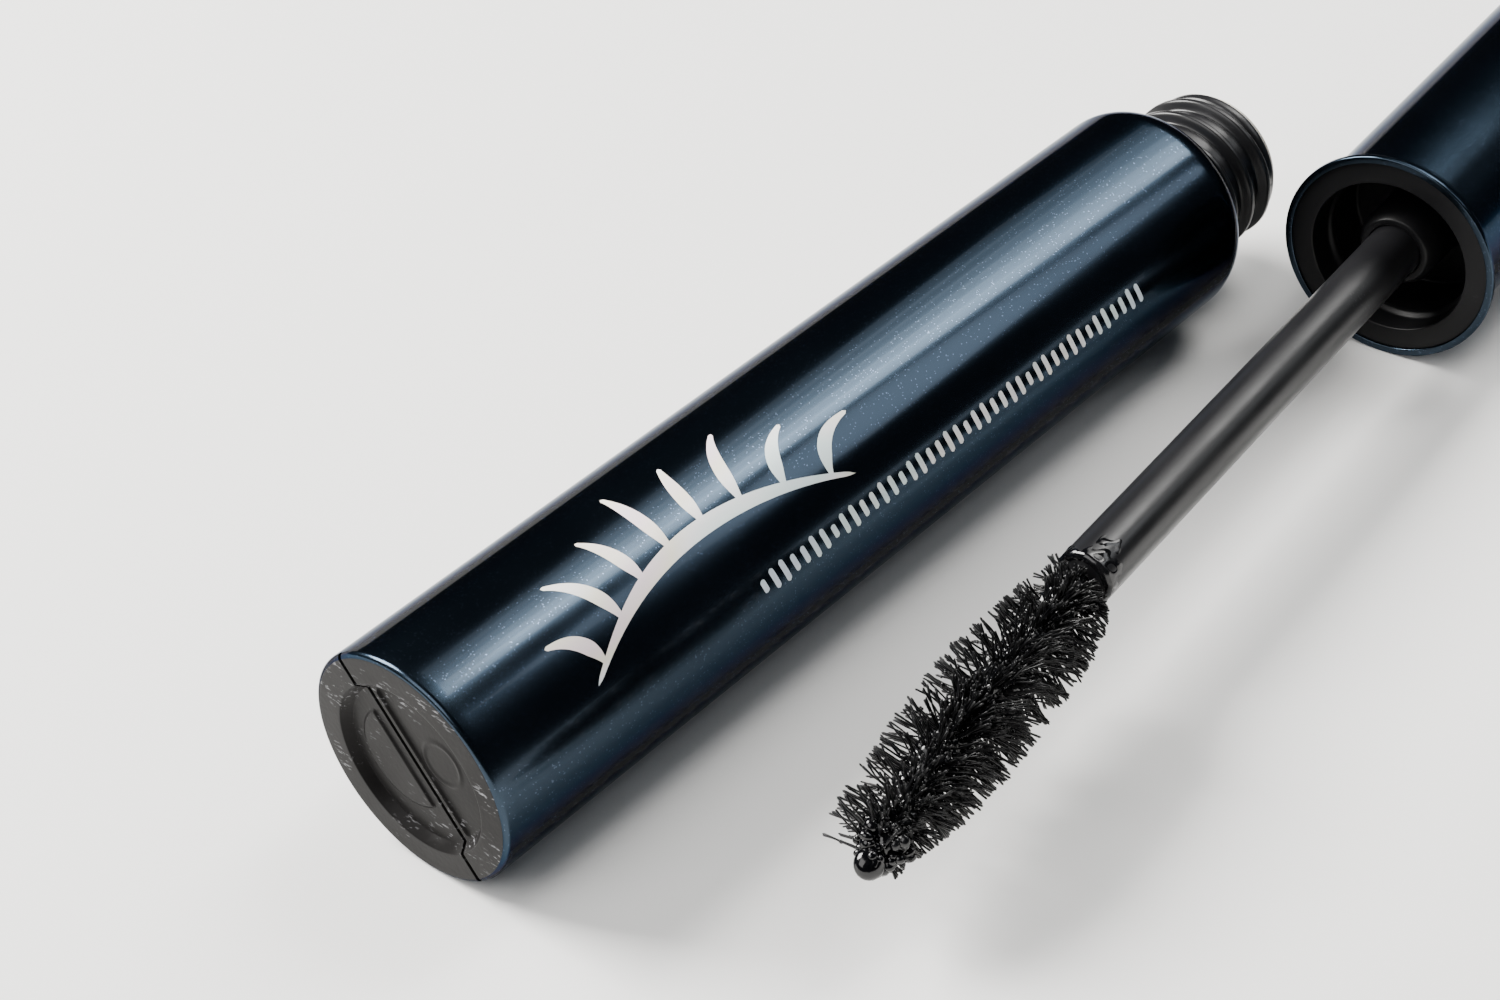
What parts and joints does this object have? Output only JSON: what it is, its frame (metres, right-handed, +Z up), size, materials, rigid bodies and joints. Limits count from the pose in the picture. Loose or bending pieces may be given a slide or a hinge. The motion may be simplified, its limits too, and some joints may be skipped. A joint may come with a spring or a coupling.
{
  "type": "mascara tube",
  "caption": "Mascara tube lying open: slim round bottle with a threaded neck and soft wiper, beside its cap with stem and bristle brush.",
  "frame": {"origin": "on the ground under the middle of the whole object's box, the bottle and the applicator lying on their sides", "axes": "+X along the bottle from its base to its neck, +Z up, the applicator on the -Y side"},
  "size_m": [0.1362, 0.04, 0.018],
  "materials": {
    "navy_lacquer": "metallic navy lacquer, high gloss, with a silver foil design on the bottle",
    "black_plastic": "moulded black plastic, satin gloss",
    "wiper_rubber": "soft natural elastomer",
    "steel_wire": "twisted steel wire",
    "bristle_fibre": "black nylon fibre wet with formula",
    "formula": "wet black cream"
  },
  "bodies": {
    "bottle": {"bottle": "navy_lacquer", "wiper": "wiper_rubber"},
    "stem": {"stem": "black_plastic"},
    "cap_and_brush": {"cap_shell": "navy_lacquer", "inner_cap": "black_plastic", "wire_core": "steel_wire", "bristles": "bristle_fibre", "formula_bead": "formula"}
  },
  "joints": [
    {"name": "applicator_withdraw", "type": "slide", "parent": "bottle", "child": "stem", "axis": [0.9959, 0.0901, 0], "range_m": [0, 0.088]},
    {"name": "applicator_turn", "type": "hinge", "parent": "stem", "child": "cap_and_brush", "pos_m": [0.02068, -0.00831, 0.009], "axis": [0.9959, 0.0901, 0], "continuous": true}
  ]
}
